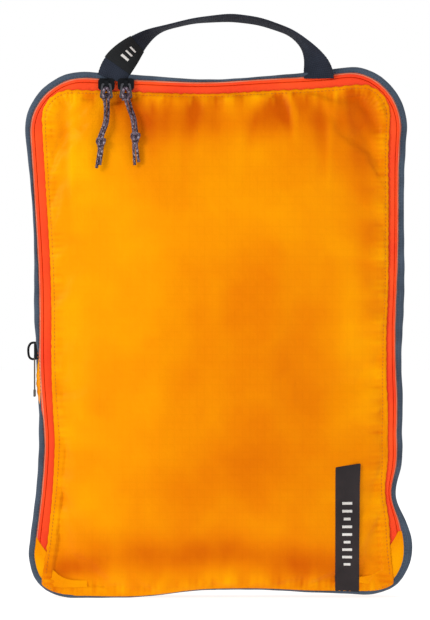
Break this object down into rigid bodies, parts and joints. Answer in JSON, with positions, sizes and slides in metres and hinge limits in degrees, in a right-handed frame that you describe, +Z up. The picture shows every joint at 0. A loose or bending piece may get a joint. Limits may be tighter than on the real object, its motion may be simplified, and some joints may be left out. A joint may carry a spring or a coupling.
{
  "type": "packing cube",
  "caption": "Soft rectangular packing cube with a zip-round front lid, a second compression zipper round its sides, a webbing carry handle and cord zipper pulls.",
  "frame": {"origin": "on the floor, under the middle of the box, with the cube standing on its bottom edge", "axes": "+Z up towards the handle, -Y out of the front lid, +X to the right seen from the front"},
  "size_m": [0.2531, 0.0586, 0.3885],
  "materials": {
    "yellow_ripstop": "thin ripstop nylon, satin",
    "orange_zip_tape": "smooth reverse-coil zipper tape, satin",
    "orange_coil": "nylon coil",
    "slate_binding": "woven grosgrain binding, matte",
    "slate_zip_tape": "woven zipper tape, matte",
    "slate_coil": "nylon coil",
    "navy_webbing": "woven nylon webbing, matte",
    "dark_label": "woven damask label, matte",
    "gunmetal": "dark plated zinc, semi-gloss",
    "steel_tab": "stamped steel",
    "pull_cord": "braided cord, flecked"
  },
  "bodies": {
    "rear_section": {"back_panel": "yellow_ripstop", "rear_binding": "slate_binding", "rear_gusset": "yellow_ripstop", "compression_tape_rear": "slate_zip_tape", "compression_coil_rear": "slate_coil", "expansion_gusset": "yellow_ripstop"},
    "front_section": {"front_binding": "slate_binding", "front_gusset": "yellow_ripstop", "compression_tape_front": "slate_zip_tape", "compression_coil_front": "slate_coil", "main_zip_tape_outer": "orange_zip_tape", "main_zip_tape_tails": "orange_zip_tape", "main_zip_coil_outer": "orange_coil", "corner_piece_left": "yellow_ripstop", "corner_piece_right": "yellow_ripstop", "front_panel_foot": "yellow_ripstop", "front_label_foot": "dark_label", "handle_anchor_left": "navy_webbing", "handle_anchor_right": "navy_webbing"},
    "lid": {"front_panel": "yellow_ripstop", "front_label": "dark_label", "main_zip_tape_inner": "orange_zip_tape", "main_zip_coil_inner": "orange_coil"},
    "slider_left": {"main_slider_left": "gunmetal"},
    "slider_right": {"main_slider_right": "gunmetal"},
    "ring_left": {"pull_ring_left": "gunmetal"},
    "ring_right": {"pull_ring_right": "gunmetal"},
    "pull_left": {"pull_knot_left": "pull_cord", "pull_cord_left_a": "pull_cord", "pull_cord_left_b": "pull_cord"},
    "pull_right": {"pull_knot_right": "pull_cord", "pull_cord_right_a": "pull_cord", "pull_cord_right_b": "pull_cord"},
    "side_slider": {"compression_slider": "gunmetal"},
    "side_tab": {"compression_pull_tab": "steel_tab"},
    "handle": {"handle_webbing": "navy_webbing", "handle_size_label": "dark_label"}
  },
  "joints": [
    {"name": "expand", "type": "slide", "parent": "rear_section", "child": "front_section", "axis": [0, -1, 0], "range_m": [0, 0.065]},
    {"name": "lid_fold", "type": "hinge", "parent": "front_section", "child": "lid", "pos_m": [0, -0.0264, 0.04], "axis": [1, 0, 0], "range_deg": [0, 160]},
    {"name": "slider_left_run", "type": "slide", "parent": "lid", "child": "slider_left", "axis": [1, 0, 0], "range_m": [-0.012, 0]},
    {"name": "slider_right_run", "type": "slide", "parent": "lid", "child": "slider_right", "axis": [1, 0, 0], "range_m": [0, 0.144]},
    {"name": "ring_left_lift", "type": "hinge", "parent": "slider_left", "child": "ring_left", "pos_m": [-0.073, -0.0224, 0.3424], "axis": [-1, 0, 0], "range_deg": [0, 120]},
    {"name": "pull_left_swing", "type": "hinge", "parent": "ring_left", "child": "pull_left", "pos_m": [-0.073, -0.02427, 0.3336], "axis": [0, 1, 0], "range_deg": [-12, 25]},
    {"name": "ring_right_lift", "type": "hinge", "parent": "slider_right", "child": "ring_right", "pos_m": [-0.06, -0.0224, 0.3424], "axis": [-1, 0, 0], "range_deg": [0, 120]},
    {"name": "pull_right_swing", "type": "hinge", "parent": "ring_right", "child": "pull_right", "pos_m": [-0.06, -0.02427, 0.3336], "axis": [0, 1, 0], "range_deg": [-25, 12]},
    {"name": "side_slider_run", "type": "slide", "parent": "rear_section", "child": "side_slider", "axis": [-0.0286, 0, 0.9996], "range_m": [0, 0.128]},
    {"name": "side_tab_lift", "type": "hinge", "parent": "side_slider", "child": "side_tab", "pos_m": [-0.12165, 0, 0.1645], "axis": [0, 1, 0], "range_deg": [0, 150]},
    {"name": "handle_tilt", "type": "hinge", "parent": "front_section", "child": "handle", "pos_m": [0, -0.0204, 0.3505], "axis": [1, 0, 0], "range_deg": [-60, 85]}
  ]
}
